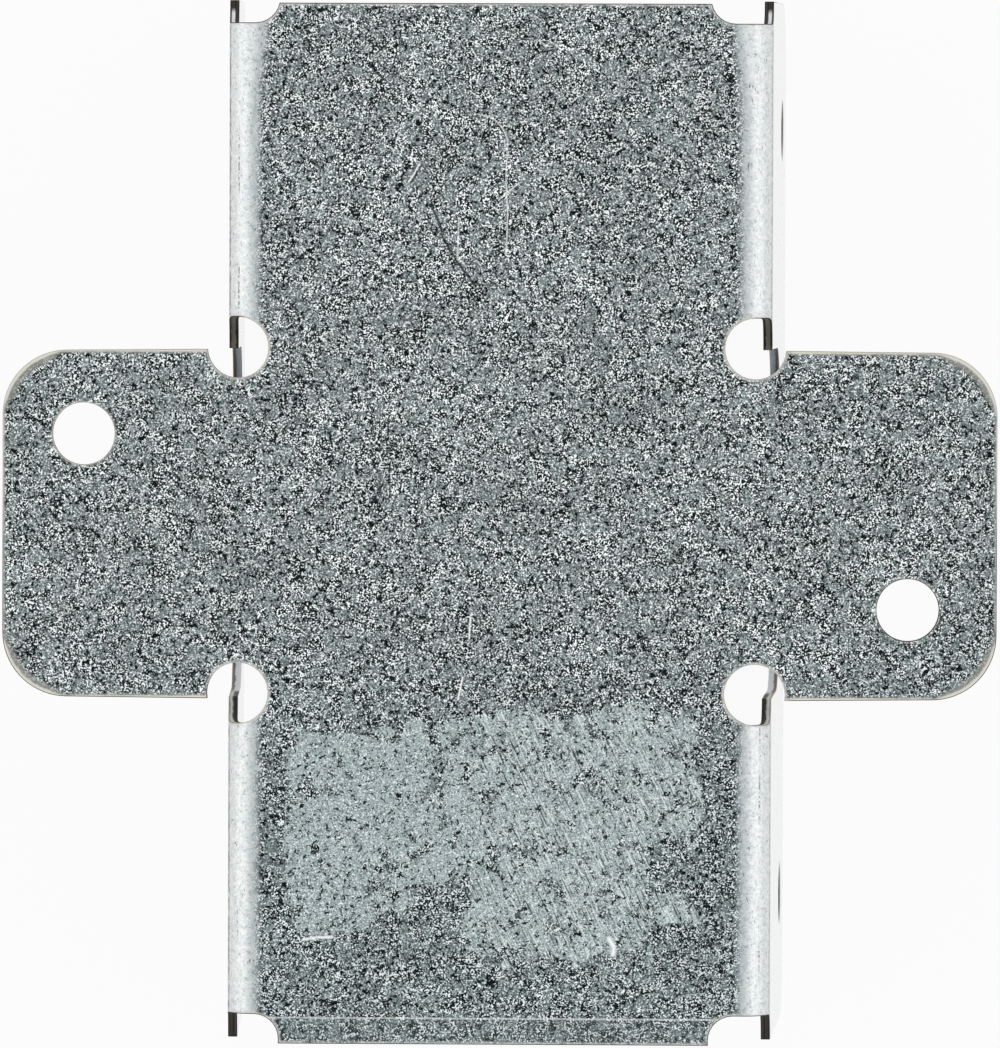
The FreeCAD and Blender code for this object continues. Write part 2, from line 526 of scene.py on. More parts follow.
    def draw_blank(self) -> Blank:
        """Draws and fills the flat blank, with its panels joined along the fold lines.

        Returns:
            The flat blank, without thickness, with its outer skin up.
        """
        s = self.sizes
        bm = bmesh.new()
        layer = bm.verts.layers.float.new("panel")
        for side in (1, -1):
            for end in (1, -1):
                self.draw_plate_quarter(bm, side, end)
        for x, y in s.arm_holes:
            self.punch(bm, x, y, Panel.PLATE)
        self.fill(bm)
        for side, panel in ((1, Panel.RIGHT_FLANGE), (-1, Panel.LEFT_FLANGE)):
            for end in (1, -1):
                self.draw_flange_half(bm, side, end, panel)
            for x, y, z in s.flange_holes:
                if x * side > 0:
                    self.punch(bm, side * s.reach_at_height(z), y, panel)
            self.fill(bm)
        on_fold = [vert for vert in bm.verts if abs(abs(vert.co.x) - s.fold_start) < SEAM]
        for vert in on_fold:
            vert[layer] = math.copysign(1.0, vert.co.x)
        bmesh.ops.remove_doubles(bm, verts=on_fold, dist=SEAM)
        return bm

    def roll_rim(self, bm: Blank, level: float, roll: float, segments: int) -> None:
        """Rounds the edges all along one side of the sheet.

        Args:
            bm: The flat solid.
            level: Height of that side.
            roll: Width of the rounding.
            segments: How many faces it has.
        """
        rim = [
            edge for edge in bm.edges
            if all(abs(vert.co.z - level) < SNAP for vert in edge.verts)
            and any(abs(face.normal.z) < self.upright_share for face in edge.link_faces)
        ]
        bmesh.ops.bevel(
            bm, geom=rim, offset=roll, offset_type="OFFSET", affect="EDGES", segments=segments,
            profile=0.5, material=-1, clamp_overlap=True, loop_slide=True,
        )

    def thicken(self, bm: Blank) -> None:
        """Gives the flat blank its thickness and rolls its edges.

        Args:
            bm: The flat blank, which becomes a closed solid.
        """
        thickness = self.sizes.thickness
        made = bmesh.ops.extrude_face_region(bm, geom=bm.faces[:], use_keep_orig=True)
        lower = [item for item in made["geom"] if isinstance(item, bmesh.types.BMVert)]
        bmesh.ops.translate(bm, verts=lower, vec=(0, 0, -thickness))
        bmesh.ops.recalc_face_normals(bm, faces=bm.faces[:])
        for up in (1, -1):
            skin = [face for face in bm.faces if face.normal.z * up > self.facing_share]
            bmesh.ops.inset_region(
                bm, faces=skin, use_boundary=True, use_even_offset=True,
                thickness=self.rim_width,
            )
        self.roll_rim(bm, 0.0, self.rim_roll, self.roll_segments)
        self.roll_rim(bm, -thickness, self.burr, 1)

    def mark_edges(self, bm: Blank) -> None:
        """Stores where the sheet is rolled and cut, for its finish to follow.

        Args:
            bm: The flat solid, whose vertices get their rim share and their depth.
        """
        rim = bm.verts.layers.float.new("rim")
        through = bm.verts.layers.float.new("through")
        for vert in bm.verts:
            flat = all(abs(face.normal.z) > self.flat_share for face in vert.link_faces)
            vert[rim] = 0.0 if flat else 1.0
            vert[through] = -vert.co.z / self.sizes.thickness
        for face in bm.faces:
            skin = Skin.CUT_EDGE if abs(face.normal.z) < self.cut_share else Skin.ZINC
            face.material_index = skin.value

    def score(self, bm: Blank, faces: Faces, place: Triple, across: Triple) -> None:
        """Cuts faces along a line, so that the sheet can bend there.

        Args:
            bm: The flat solid.
            faces: The faces to cut.
            place: A point of the line.
            across: Direction square to the line.
        """
        edges, verts = self.parts_of(faces)
        bmesh.ops.bisect_plane(
            bm, geom=faces + edges + verts, plane_co=place, plane_no=across, dist=SNAP,
        )

    def press_strip(self, bm: Blank) -> None:
        """Sinks the strip along the plate's -Y end, with a crease along its top.

        Args:
            bm: The flat solid.
        """
        s = self.sizes
        layer = bm.verts.layers.float["panel"]
        for y in (s.press_crease, s.press_crease - s.press_mark_ramp):
            plate = [
                face for face in bm.faces
                if any(vert[layer] == Panel.PLATE.value for vert in face.verts)
            ]
            self.score(bm, plate, (0, y, 0), (0, 1, 0))
        for vert in bm.verts:
            past = s.press_crease - vert.co.y
            on_plate = vert[layer] == Panel.PLATE.value and abs(vert.co.x) < s.fold_start
            if on_plate and past > 0:
                share = min(1.0, past / s.press_mark_ramp)
                top_share = 1.0 + vert.co.z / s.thickness
                vert.co.z -= s.press_mark_depth * share * top_share

    def fold_up(self, bm: Blank) -> None:
        """Folds both flanges down and stands the sheet on their far edges.

        Args:
            bm: The flat solid, which becomes the folded sheet.
        """
        s = self.sizes
        layer = bm.verts.layers.float["panel"]
        for panel in (Panel.RIGHT_FLANGE, Panel.LEFT_FLANGE):
            for step in range(1, self.fold_segments + 1):
                reach = s.fold_start + s.fold_length * step / self.fold_segments
                flange = [
                    face for face in bm.faces
                    if all(vert[layer] * panel.value > self.panel_share for vert in face.verts)
                ]
                self.score(bm, flange, (panel.value * reach, 0, 0), (1, 0, 0))
        for vert in bm.verts:
            if vert[layer]:
                vert.co = s.fold(vert.co, math.copysign(1.0, vert[layer]))
        bmesh.ops.translate(bm, verts=bm.verts[:], vec=(0, 0, s.height))

    def build(self) -> bpy.types.Object:
        """Makes the folded sheet as one closed mesh.

        Returns:
            The finished object, at the origin.
        """
        bm = self.draw_blank()
        self.thicken(bm)
        self.mark_edges(bm)
        self.press_strip(bm)
        self.fold_up(bm)
        bm.normal_update()
        for face in bm.faces:
            face.smooth = True
        for edge in bm.edges:
            closed = len(edge.link_faces) == 2
            edge.smooth = closed and edge.calc_face_angle(0.0) < self.sharp_angle
        open_edges = sum(1 for edge in bm.edges if len(edge.link_faces) != 2)
        LOG.info("folded sheet: %d faces, %d open edges", len(bm.faces), open_edges)
        mesh = bpy.data.meshes.new("galvanised_blank")
        bm.to_mesh(mesh)
        bm.free()
        sheet = bpy.data.objects.new("galvanised_blank", mesh)
        bpy.context.scene.collection.objects.link(sheet)
        weighted = sheet.modifiers.new("even_shading", "WEIGHTED_NORMAL")
        weighted.keep_sharp = True
        return sheet

    def dress(
        self, sheet: bpy.types.Object, finishes: dict[Skin, bpy.types.Material],
    ) -> None:
        """Gives the sheet its finishes and its place in the frame.

        Args:
            sheet: The folded sheet.
            finishes: The material of each skin.
        """
        for skin in Skin:
            sheet.data.materials.append(finishes[skin])
            LOG.info("%s dressed", skin.name.lower())
        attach(sheet, "root")
        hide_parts(SHEET_NODE)
        LOG.info("galvanised sheet dressed")


class NodeBench:
    """Lays out the shader nodes of one tree, each in a single call."""

    def __init__(self, tree: bpy.types.NodeTree) -> None:
        """Starts work on a tree."""
        self.tree = tree

    def feed(self, target: Socket, source: Any) -> None:
        """Links a socket to another one, or gives it a plain value.

        Args:
            target: The input to fill.
            source: A socket or a plain value.
        """
        if isinstance(source, Socket):
            self.tree.links.new(source, target)
        else:
            target.default_value = source

    def feed_named(self, node: bpy.types.Node, sources: dict[str, Any]) -> None:
        """Feeds a node's inputs by their names."""
        for name, source in sources.items():
            self.feed(node.inputs[name], source)

    def add(self, kind: str, *sources: Any, **settings: Any) -> bpy.types.Node:
        """Adds a node.

        Args:
            kind: Blender's name for the kind of node.
            sources: Sockets or plain values for its first inputs, in their order.
            settings: The node's settings.

        Returns:
            The node.
        """
        node = self.tree.nodes.new(kind)
        for name, value in settings.items():
            setattr(node, name, value)
        for target, source in zip(node.inputs, sources):
            self.feed(target, source)
        return node

    def calc(self, operation: str, *operands: Any, clamp: bool = False) -> Socket:
        """Works out one number from others."""
        node = self.add("ShaderNodeMath", *operands, operation=operation, use_clamp=clamp)
        return node.outputs["Value"]

    def calc_vector(self, operation: str, *operands: Any, output: str = "Vector") -> Socket:
        """Works out one vector from others or, by the Value output, one number."""
        return self.add("ShaderNodeVectorMath", *operands, operation=operation).outputs[output]

    def times(self, *factors: Any) -> Socket:
        """Multiplies numbers."""
        return reduce(lambda product, factor: self.calc("MULTIPLY", product, factor), factors)

    def strongest(self, masks: list[Socket]) -> Socket:
        """Joins masks, so that the strongest one counts at each place."""
        return reduce(lambda joined, mask: self.calc("MAXIMUM", joined, mask), masks)

    def linear(self, value: Any, slope: Any, start: Any) -> Socket:
        """Adds a multiple of a value to a start."""
        return self.calc("MULTIPLY_ADD", value, slope, start)

    def gap(self, value: Any, middle: float) -> Socket:
        """Distance of a value from a middle one."""
        return self.calc("ABSOLUTE", self.calc("SUBTRACT", value, middle))

    def split(self, vector: Socket) -> list[Socket]:
        """Takes a vector apart into its three numbers."""
        return list(self.add("ShaderNodeSeparateXYZ", vector).outputs)

    def ease(self, value: Any, low: Any, high: Any) -> Socket:
        """Rises smoothly from 0 at one value to 1 at another."""
        node = self.add("ShaderNodeMapRange", value, low, high, interpolation_type="SMOOTHSTEP")
        return node.outputs["Result"]

    def blend(self, share: Any, first: Any, second: Any, mode: str = "MIX") -> Socket:
        """Blends two colours.

        Args:
            share: How much of the second colour counts.
            first: The colour below.
            second: The colour over it.
            mode: Blender's name for the way of blending.

        Returns:
            The blended colour.
        """
        node = self.add("ShaderNodeMix", data_type="RGBA", blend_type=mode)
        inputs = {item.identifier: item for item in node.inputs}
        for name, source in (("Factor_Float", share), ("A_Color", first), ("B_Color", second)):
            self.feed(inputs[name], source)
        return next(item for item in node.outputs if item.identifier == "Result_Color")

    def paint(self, under: Any, colour: Colour, *shares: Any) -> Socket:
        """Paints a plain colour over a finish, as thickly as all the shares together."""
        return self.blend(self.times(*shares), under, (*colour, 1))

    def ramp(self, value: Any, stops: Stops) -> Socket:
        """Turns a number into a colour by a row of stops.

        Args:
            value: The number.
            stops: Places along the row, with the colour of each.

        Returns:
            The colour.
        """
        node = self.add("ShaderNodeValToRGB", value)
        row = node.color_ramp.elements
        while len(row) < len(stops):
            row.new(1.0)
        for element, (position, colour) in zip(row, stops):
            element.position = position
            element.color = (*colour, 1.0)
        return node.outputs["Color"]

    def noise(
        self, place: Socket, cell: float, detail: float, warp: float = 0.0,
        roughness: float = 0.6, output: str = "Fac",
    ) -> Socket:
        """Makes a soft random pattern.

        Args:
            place: Position in millimetres.
            cell: About how far apart its spots are.
            detail: How many finer patterns are laid over it.
            warp: How far the spots are pulled out of shape.
            roughness: How strong the finer patterns are.
            output: Fac for one number, and Color for three.

        Returns:
            The pattern.
        """
        node = self.add("ShaderNodeTexNoise", place)
        self.feed_named(node, {
            "Scale": 1.0 / cell, "Detail": detail, "Roughness": roughness, "Distortion": warp,
        })
        return node.outputs[output]

    def group(self, tree: bpy.types.NodeTree, **sources: Any) -> Socket:
        """Uses a node group.

        Args:
            tree: The group.
            sources: What feeds its inputs, by their names.

        Returns:
            The group's first output.
        """
        node = self.add("ShaderNodeGroup", node_tree=tree)
        self.feed_named(node, sources)
        return node.outputs[0]

    def attribute(self, name: str) -> Socket:
        """Reads a number that is stored on the mesh."""
        kind = "ShaderNodeAttribute"
        return self.add(kind, attribute_type="GEOMETRY", attribute_name=name).outputs["Fac"]


def shifted(span: Span, start: float) -> Span:
    """Moves a span, so that it counts from a start."""
    return span[0] + start, span[1] + start


def new_finish(name: str) -> tuple[bpy.types.Material, NodeBench, bpy.types.Node]:
    """Starts a material.

    Args:
        name: The material's name.

    Returns:
        The material, a bench for its nodes, and its surface shader.
    """
    material = bpy.data.materials.new(name)
    material.use_nodes = True
    return material, NodeBench(material.node_tree), material.node_tree.nodes["Principled BSDF"]


def new_group(name: str, inputs: dict[str, str]) -> bpy.types.NodeTree:
    """Makes an empty node group with a mask as its output.

    Args:
        name: Name of the group.
        inputs: Names of its inputs, with the kind of socket of each.

    Returns:
        The group, with its input and output nodes in place.
    """
    tree = bpy.data.node_groups.new(name, "ShaderNodeTree")
    for label, kind in inputs.items():
        tree.interface.new_socket(label, in_out="INPUT", socket_type=kind)
    tree.interface.new_socket("Mask", in_out="OUTPUT", socket_type="NodeSocketFloat")
    tree.nodes.new("NodeGroupInput")
    tree.nodes.new("NodeGroupOutput")
    return tree


def scratch_group() -> bpy.types.NodeTree:
    """Makes the group for one straight scratch: 1 along its middle, and 0 away from it.

    Returns:
        The group, which takes millimetres.
    """
    vectors = dict.fromkeys(("Place", "Start", "Run"), "NodeSocketVector")
    tree = new_group("straight_scratch", {**vectors, "Width": "NodeSocketFloat"})
    bench = NodeBench(tree)
    given = tree.nodes["Group Input"].outputs
    offset = bench.calc_vector("SUBTRACT", given["Place"], given["Start"])
    along = bench.calc_vector("DOT_PRODUCT", offset, given["Run"], output="Value")
    length = bench.calc_vector("DOT_PRODUCT", given["Run"], given["Run"], output="Value")
    share = bench.calc("DIVIDE", along, length, clamp=True)
    nearest = bench.calc_vector("MULTIPLY", given["Run"], share)
    apart = bench.calc_vector("DISTANCE", offset, nearest, output="Value")
    mask = bench.ease(apart, given["Width"], 0.0)
    bench.feed(tree.nodes["Group Output"].inputs["Mask"], mask)
    return tree


def block_group(blur: float) -> bpy.types.NodeTree:
    """Makes the group for one rubbed block: 1 inside a rectangle, and 0 outside it.

    Args:
        blur: How far the border fades to each side, in millimetres.

    Returns:
        The group, which takes millimetres.
    """
    tree = new_group("rubbed_block", dict.fromkeys(("Place", "Centre", "Half"), "NodeSocketVector"))
    bench = NodeBench(tree)
    given = tree.nodes["Group Input"].outputs
    offset = bench.calc_vector("SUBTRACT", given["Place"], given["Centre"])
    beyond = bench.calc_vector("SUBTRACT", bench.calc_vector("ABSOLUTE", offset), given["Half"])
    x, y, _ = bench.split(beyond)
    mask = bench.ease(bench.calc("MAXIMUM", x, y), blur, -blur)
    bench.feed(tree.nodes["Group Output"].inputs["Mask"], mask)
    return tree


class Spot:
    """Where a point lies on the sheet, in millimetres, for a finish to read."""

    def __init__(self, bench: NodeBench, sizes: SheetSizes) -> None:
        """Lays out the nodes that read the position.

        Args:
            bench: Where the nodes are laid out.
            sizes: The sheet's sizes.
        """
        self.bench = bench
        self.sizes = sizes
        self.top = sizes.height / MM
        self.fold_start = sizes.fold_start / MM
        metres = bench.add("ShaderNodeTexCoord").outputs["Object"]
        self.place = bench.calc_vector("MULTIPLY", metres, (1 / MM, 1 / MM, 1 / MM))
        self.x, self.y, self.z = bench.split(self.place)
        self.across = bench.calc("ABSOLUTE", self.x)
        self.along = bench.calc("ABSOLUTE", self.y)


class ZincSpot(Spot):
    """A point of the coated faces, with the random patterns that the coat's layers share.

    The grain's cell puts the plate's face about halfway between two layers of the pattern,
    and what is near that face is levelled with it, so that a sunk strip has the same grain.
    """

    GRAIN_CELL = 0.2421
    ZONE_CELL = 2.4
    MOTTLE_CELL = 0.8
    PIT_CELL = 0.9
    PIT_WARP = 0.9
    CLOUD_CELL = 13.0
    STRAND_CELL = 0.3
    STRAND_SQUEEZE = (1.0, 0.3, 1.0)
    TOP_DEPTH = (-0.9, -0.4)
    ARM_CLEARANCE = (0.0, 3.0)

    def __init__(self, bench: NodeBench, sizes: SheetSizes) -> None:
        """Lays out the nodes that more than one layer reads.

        Args:
            bench: Where the nodes are laid out.
            sizes: The sheet's sizes.
        """
        super().__init__(bench, sizes)
        self.on_top = bench.ease(self.z, *shifted(self.TOP_DEPTH, self.top))
        root_half = sizes.arm_root_half / MM
        self.beside_arm = bench.ease(self.along, *shifted(self.ARM_CLEARANCE, root_half))
        rise = bench.times(bench.calc("SUBTRACT", self.top, self.z), self.on_top)
        lift = bench.add("ShaderNodeCombineXYZ", 0.0, 0.0, rise).outputs["Vector"]
        self.level = bench.calc_vector("ADD", self.place, lift)
        self.grain = bench.noise(self.level, self.GRAIN_CELL, detail=0.0)
        self.zone = bench.noise(self.level, self.ZONE_CELL, detail=2.0)
        self.mottle = bench.noise(self.level, self.MOTTLE_CELL, detail=2.0)
        self.cloud = bench.noise(self.level, self.CLOUD_CELL, detail=1.0)
        pitting = bench.noise(self.level, self.PIT_CELL, detail=1.0, warp=self.PIT_WARP)
        self.ridge = bench.gap(pitting, NOISE_MIDDLE)
        long_way = bench.calc_vector("MULTIPLY", self.level, self.STRAND_SQUEEZE)
        self.strands = bench.noise(long_way, self.STRAND_CELL, detail=1.0)

    def pits(self, ridge: Span, clump: Span) -> Socket:
        """Thin crooked pits, where the lines of one pattern cross the clumps of another."""
        bench = self.bench
        return bench.times(bench.ease(self.ridge, *ridge), bench.ease(self.mottle, *clump))


@dataclass(frozen=True)
class Speckle:
    """Hot-dip zinc: busy and quiet zones of fine grain, with dark pits and slow clouds."""

    grain: Stops = (
        (0.1, (0.008, 0.012, 0.013)), (0.27, (0.046, 0.06, 0.062)), (0.4, (0.148, 0.178, 0.181)),
        (0.5, (0.223, 0.262, 0.265)), (0.6, (0.3, 0.346, 0.35)), (0.71, (0.76, 0.81, 0.813)),
        (0.84, (0.97, 1.0, 1.0)),
    )
    busy_zone: Span = (0.4, 0.7)
    quiet_gain: float = 0.8
    busy_gain: float = 2.6
    busy_shade: float = 0.1
    shade_balance: float = 0.4
    lower_end: Span = (-10.0, -60.0)
    lower_calm: float = 0.35
    lower_cast: Colour = (0.88, 0.91, 0.92)
    cloud_swing: float = 0.5
    cloud_least: float = 0.7
    pit_ridge: Span = (0.095, 0.06)
    pit_clump: Span = (0.53, 0.56)
    pit_colour: Colour = (0.008, 0.012, 0.012)

    def colour(self, spot: ZincSpot) -> Socket:
        """Colours the bare coat.

        Args:
            spot: The place on the sheet.

        Returns:
            The coat's colour.
        """
        bench = spot.bench
        busy = bench.ease(spot.zone, *self.busy_zone)
        lower = bench.ease(spot.y, *self.lower_end)
        lively = bench.linear(lower, -self.lower_calm, self.busy_gain)
        gain = bench.linear(busy, lively, self.quiet_gain)
        swing = bench.times(bench.calc("SUBTRACT", spot.grain, NOISE_MIDDLE), gain)
        middle = NOISE_MIDDLE + self.shade_balance * self.busy_shade
        level = bench.linear(busy, -self.busy_shade, middle)
        speckle = bench.ramp(bench.calc("ADD", swing, level), self.grain)
        pitted = bench.paint(speckle, self.pit_colour, spot.pits(self.pit_ridge, self.pit_clump))
        cloud = bench.linear(spot.cloud, self.cloud_swing, self.cloud_least)
        cast = bench.paint(WHITE, self.lower_cast, lower)
        return bench.blend(1.0, pitted, bench.calc_vector("MULTIPLY", cast, cloud), "MULTIPLY")


@dataclass(frozen=True)
class Block:
    """A rectangle of the plate's face that has been rubbed smooth, in millimetres."""

    low: Point
    high: Point

    @property
    def centre(self) -> Triple:
        """Middle of the rectangle."""
        return (self.low[0] + self.high[0]) / 2, (self.low[1] + self.high[1]) / 2, 0.0

    @property
    def half(self) -> Triple:
        """Half the rectangle's width and half its length."""
        return (self.high[0] - self.low[0]) / 2, (self.high[1] - self.low[1]) / 2, 0.0


@dataclass(frozen=True)
class RubbedPatch:
    """Patch that has been rubbed smooth: grey, with dark specks, and streaks on its right."""

    blocks: tuple[Block, ...] = (
        Block((-10.5, -62.0), (25.9, -33.0)),
        Block((-5.0, -74.6), (25.9, -60.0)),
        Block((-36.7, -50.0), (-12.5, -35.5)),
        Block((-36.7, -62.0), (-10.0, -48.0)),
        Block((-35.7, -66.5), (-16.0, -60.0)),
        Block((-35.0, -70.8), (-22.0, -62.0)),
        Block((19.6, -54.6), (34.6, -31.9)),
        Block((27.3, -68.9), (34.0, -65.0)),
    )
    border_blur: float = 0.35
    shake_cell: float = 8.0
    shake_roughness: float = 0.72
    shake_reach: Triple = (12.0, 14.0, 0.0)
    gap_cell: float = 3.4
    gap_warp: float = 0.8
    gap_edge: Span = (0.395, 0.435)
    grain: Stops = (
        (0.2, (0.1, 0.13, 0.132)), (0.33, (0.265, 0.32, 0.323)), (0.5, (0.387, 0.453, 0.457)),
        (0.64, (0.48, 0.55, 0.555)), (0.73, (0.72, 0.79, 0.797)), (0.8, (0.87, 0.94, 0.95)),
    )
    streak_cell: float = 0.27
    streak_turn: float = math.radians(25)
    streak_stretch: float = 24.0
    streaked_side: Span = (-12.0, 2.0)
    light_streak: Span = (0.567, 0.705)
    dark_nick: Span = (0.388, 0.285)
    speck_ridge: Span = (0.085, 0.05)
    speck_clump: Span = (0.56, 0.59)
    light: Colour = (0.68, 0.75, 0.755)
    dark: Colour = (0.015, 0.025, 0.026)

    def outline(self, spot: ZincSpot) -> Socket:
        """Outlines the patch, with ragged borders and a few bare gaps.

        Args:
            spot: The place on the sheet.

        Returns:
            1 where the zinc is rubbed smooth.
        """
        bench = spot.bench
        shake = bench.noise(
            spot.level, self.shake_cell, detail=3.0, roughness=self.shake_roughness,
            output="Color",
        )
        swing = bench.calc_vector("SUBTRACT", shake, (NOISE_MIDDLE,) * 3)
        ragged = bench.calc_vector("MULTIPLY_ADD", swing, self.shake_reach, spot.level)
        group = block_group(self.border_blur)
        masks = [
            bench.group(group, Place=ragged, Centre=block.centre, Half=block.half)
            for block in self.blocks
        ]
        gaps = bench.noise(spot.level, self.gap_cell, detail=2.0, warp=self.gap_warp)
        return bench.times(bench.strongest(masks), bench.ease(gaps, *self.gap_edge), spot.on_top)

    def colour(self, spot: ZincSpot) -> Socket:
        """Colours the patch.

        Args:
            spot: The place on the sheet.

        Returns:
            The patch's colour.
        """
        bench = spot.bench
        turned = bench.add("ShaderNodeMapping", vector_type="TEXTURE")
        bench.feed_named(turned, {
            "Vector": spot.level, "Rotation": (0.0, 0.0, self.streak_turn),
            "Scale": (1.0, self.streak_stretch, 1.0),
        })
        streak = bench.noise(turned.outputs["Vector"], self.streak_cell, detail=1.0)
        right = bench.ease(spot.x, *self.streaked_side)
        light = bench.ease(streak, *self.light_streak)
        nicks = bench.times(bench.ease(streak, *self.dark_nick), right)
        specks = spot.pits(self.speck_ridge, self.speck_clump)
        colour = bench.paint(bench.ramp(spot.grain, self.grain), self.light, light, right)
        return bench.paint(colour, self.dark, bench.strongest([specks, nicks]))

    def paint(self, spot: ZincSpot, under: Socket) -> Socket:
        """Rubs the patch into a finish."""
        return spot.bench.blend(self.outline(spot), under, self.colour(spot))


@dataclass(frozen=True)
class Scratch:
    """A scratch on the plate's face, as a chain of points in millimetres from its middle."""

    points: tuple[Point, ...]
    width: float = 0.28
    strength: float = 0.9

    def runs(self) -> list[tuple[Point, Point]]:
        """Straight runs of the scratch, each as its two ends."""
        return list(zip(self.points, self.points[1:]))


@dataclass(frozen=True)
class ScratchSet:
    """Scratches of one colour on the plate's face."""

    colour: Colour
    scratches: tuple[Scratch, ...]

    def paint(self, spot: ZincSpot, under: Socket, group: bpy.types.NodeTree) -> Socket:
        """Draws the scratches over a finish.

        Args:
            spot: The place on the sheet.
            under: The finish so far.
            group: The node group for one straight scratch.

        Returns:
            The finish with the scratches.
        """
        bench = spot.bench
        masks = []
        for scratch in self.scratches:
            lines = [
                bench.group(
                    group, Place=spot.level, Start=(*start, spot.top),
                    Run=(end[0] - start[0], end[1] - start[1], 0.0), Width=scratch.width,
                )
                for start, end in scratch.runs()
            ]
            masks.append(bench.times(bench.strongest(lines), scratch.strength))
        return bench.paint(under, self.colour, bench.strongest(masks))


@dataclass(frozen=True)
class FoldSkin:
    """Zinc over the folds: smoother, made bright by a painted reflection, with painted shade along
    the inner border, and marked by the die.
    """

    # Bright stops: a painted reflection of the surroundings on the folds' smoother zinc.
    skin: Stops = (
        (0.28, (0.4, 0.43, 0.44)), (0.4, (0.62, 0.66, 0.67)),
        (0.52, (0.72, 0.75, 0.75)), (0.66, (0.86, 0.86, 0.84)),
    )
    grain_share: float = 0.4
    far_end: Span = (70.0, 88.0)
    far_widening: float = 1.3
    unevenness: float = 2.2
    inner_edge: Span = (-0.3, 1.5)
    depth: Span = (-9.0, -5.0)
    # Painted shade along the folds' inner border.
    border: Colour = (0.7, 0.735, 0.745)
    border_edge: Span = (1.7, 0.1)
    die_mark: Colour = (0.1, 0.09, 0.075)
    crack: Span = (0.37, 0.29)
    cracked_zone: Span = (0.5, 0.62)
    crack_strength: float = 0.8
    line_inset: float = 2.95
    line_edge: Span = (0.24, 0.08)
    line_dots: Span = (0.45, 0.6)
    line_stretch: Span = (0.48, 0.58)
    line_strength: float = 0.7
    left_side: Span = (1.0, -1.0)
    left_dark_band_rise: float = 0.7
    dark_band_top: Span = (1.5, 0.7)
    dark_band_foot: Span = (-0.3, 0.0)
    dark_band_strands: Span = (0.66, 0.4)

    def mask(self, spot: ZincSpot, reach: Socket) -> Socket:
        """Outlines the folds.

        Args:
            spot: The place on the sheet.
            reach: Distance from the plate's middle, counted longer towards the far end.

        Returns:
            1 on the folds.
        """
        bench = spot.bench
        uneven = bench.linear(spot.zone, self.unevenness, reach)
        stretched = bench.ease(uneven, *shifted(self.inner_edge, spot.fold_start))
        above = bench.ease(spot.z, *shifted(self.depth, spot.top))
        return bench.times(stretched, spot.beside_arm, above)

    def colour(self, spot: ZincSpot, reach: Socket) -> Socket:
        """Colours the folds: bright with painted reflection, with painted shade along the inner
        border, and a few dark cracks.

        Args:
            spot: The place on the sheet.
            reach: Distance from the plate's middle, counted longer towards the far end.

        Returns:
            The folds' colour.
        """
        bench = spot.bench
        coarse = bench.times(spot.mottle, 1.0 - self.grain_share)
        # Painted reflection in the bright stops, then painted shade along the inner border.
        skin = bench.ramp(bench.linear(spot.grain, self.grain_share, coarse), self.skin)
        border = bench.ease(reach, *shifted(self.border_edge, spot.fold_start))
        skin = bench.blend(border, skin, (*self.border, 1), "MULTIPLY")
        cracks = bench.ease(spot.strands, *self.crack)
        cracked = bench.ease(spot.zone, *self.cracked_zone)
        return bench.paint(skin, self.die_mark, cracks, cracked, self.crack_strength)

    def mark_line(self, spot: ZincSpot, under: Socket, fold: Socket) -> Socket:
        """Draws the dotted line that the die leaves along the folds.

        Args:
            spot: The place on the sheet.
            under: The finish so far.
            fold: 1 on the folds.

        Returns:
            The finish with the line.
        """
        bench = spot.bench
        off_line = bench.gap(spot.across, spot.fold_start + self.line_inset)
        line = bench.ease(off_line, *self.line_edge)
        dots = bench.ease(spot.mottle, *self.line_dots)
        stretch = bench.ease(spot.cloud, *self.line_stretch)
        return bench.paint(under, self.die_mark, line, dots, stretch, fold, self.line_strength)

    def low_dark_band(self, spot: ZincSpot, under: Socket) -> Socket:
        """Darkens a broken band low on each fold, a little higher on the left.

        Args:
            spot: The place on the sheet.
            under: The finish so far.

        Returns:
            The finish with the dark bands.
        """
        bench = spot.bench
        fold_foot = spot.top - spot.sizes.outer_fold_radius / MM
        left = bench.ease(spot.x, *self.left_side)
        height = bench.linear(left, -self.left_dark_band_rise, spot.z)
        below = bench.ease(height, *shifted(self.dark_band_top, fold_foot))
        above = bench.ease(spot.z, *shifted(self.dark_band_foot, fold_foot))
        strands = bench.ease(spot.strands, *self.dark_band_strands)
        return bench.paint(under, self.die_mark, below, above, strands, spot.beside_arm)

    def paint(self, spot: ZincSpot, under: Socket) -> tuple[Socket, Socket]:
        """Paints the folds, bright with painted reflection.

        Args:
            spot: The place on the sheet.
            under: The finish so far.

        Returns:
            The finish with its folds, and a mask that is 1 on them.
        """
        bench = spot.bench
        reach = bench.linear(bench.ease(spot.y, *self.far_end), self.far_widening, spot.across)
        fold = self.mask(spot, reach)
        colour = bench.blend(fold, under, self.colour(spot, reach))
        return self.low_dark_band(spot, self.mark_line(spot, colour, fold)), fold


@dataclass(frozen=True)
class RollBand:
    """One band of painted shade or painted highlight along the rolled edges of the arms, in
    millimetres.
    """

    colour: Colour
    corner_width: float
    unevenness: float
    strength: float


